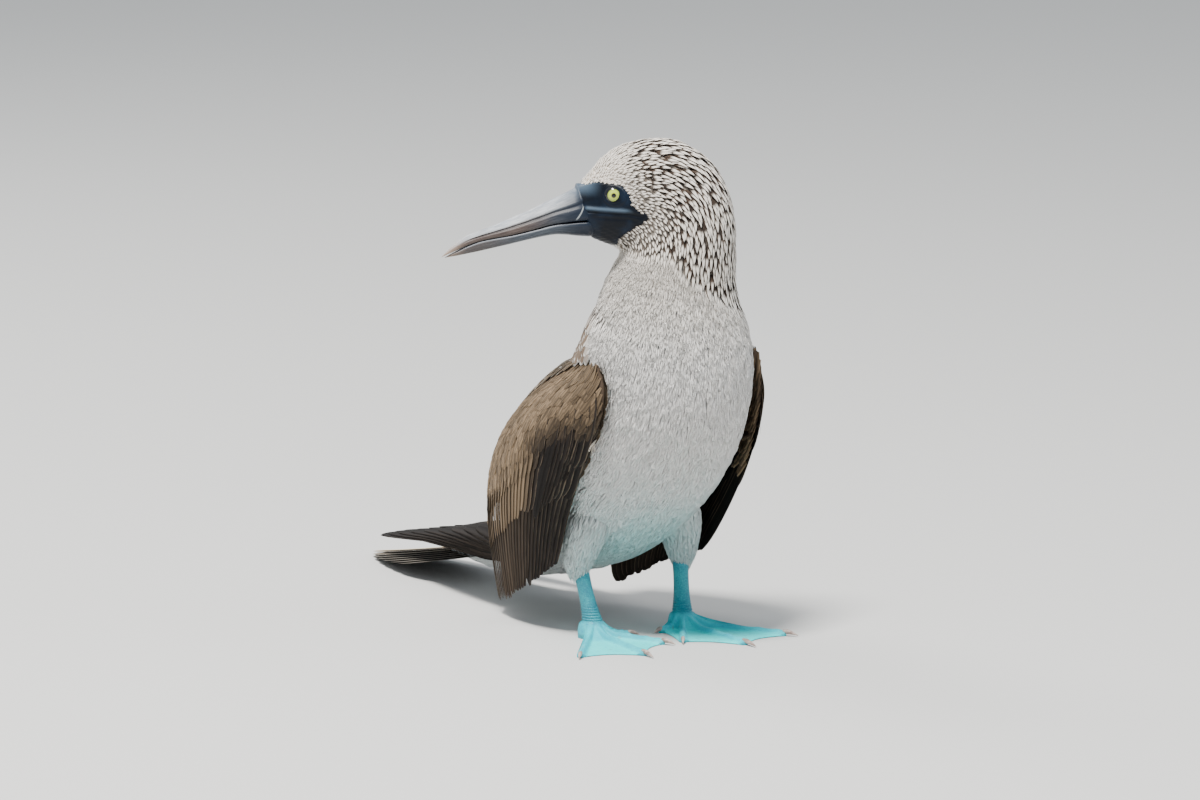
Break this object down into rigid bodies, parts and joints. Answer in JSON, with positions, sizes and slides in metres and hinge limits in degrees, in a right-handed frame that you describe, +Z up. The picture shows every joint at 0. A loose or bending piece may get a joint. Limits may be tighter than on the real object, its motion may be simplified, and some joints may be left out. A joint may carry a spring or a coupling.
{
  "type": "blue footed booby, still life-size museum model",
  "caption": "Standing blue footed booby with wings folded and drooped, head turned over its right shoulder, webbed feet flat and tail tip resting on the floor.",
  "frame": {"origin": "middle of the underside of the whole bird's box, on the floor the feet stand on", "axes": "+Z up, the breast faces -Y, the tail points to +Y, the bird's right side is -X"},
  "size_m": [0.2238, 0.4497, 0.3355],
  "materials": {
    "head": "pale feathers with dark streaks, bare slate face",
    "neck": "soft pale feathers",
    "torso": "soft white feathers, mottled brown mantle",
    "tail": "matt brown-black feathers with cream edges",
    "bill_upper": "smooth slate-grey horn",
    "bill_lower": "smooth slate-grey horn",
    "eye_right": "wet, pale yellow-green iris, dark pupil",
    "wing_right": "matt dark brown feathers",
    "thigh_right": "soft white feathers",
    "tarsus_right": "fine turquoise scales",
    "foot_right": "turquoise scales and webs",
    "claw_hind_right": "pale horn",
    "claw_inner_right": "pale horn",
    "claw_middle_right": "pale horn",
    "claw_outer_right": "pale horn",
    "eye_left": "wet, pale yellow-green iris, dark pupil",
    "wing_left": "matt dark brown feathers",
    "thigh_left": "soft white feathers",
    "tarsus_left": "fine turquoise scales",
    "foot_left": "turquoise scales and webs",
    "claw_hind_left": "pale horn",
    "claw_inner_left": "pale horn",
    "claw_middle_left": "pale horn",
    "claw_outer_left": "pale horn"
  },
  "bodies": {
    "root": {"head": "head", "neck": "neck", "torso": "torso", "tail": "tail", "bill_upper": "bill_upper", "bill_lower": "bill_lower", "eye_right": "eye_right", "wing_right": "wing_right", "thigh_right": "thigh_right", "tarsus_right": "tarsus_right", "foot_right": "foot_right", "claw_hind_right": "claw_hind_right", "claw_inner_right": "claw_inner_right", "claw_middle_right": "claw_middle_right", "claw_outer_right": "claw_outer_right", "eye_left": "eye_left", "wing_left": "wing_left", "thigh_left": "thigh_left", "tarsus_left": "tarsus_left", "foot_left": "foot_left", "claw_hind_left": "claw_hind_left", "claw_inner_left": "claw_inner_left", "claw_middle_left": "claw_middle_left", "claw_outer_left": "claw_outer_left"}
  },
  "joints": []
}
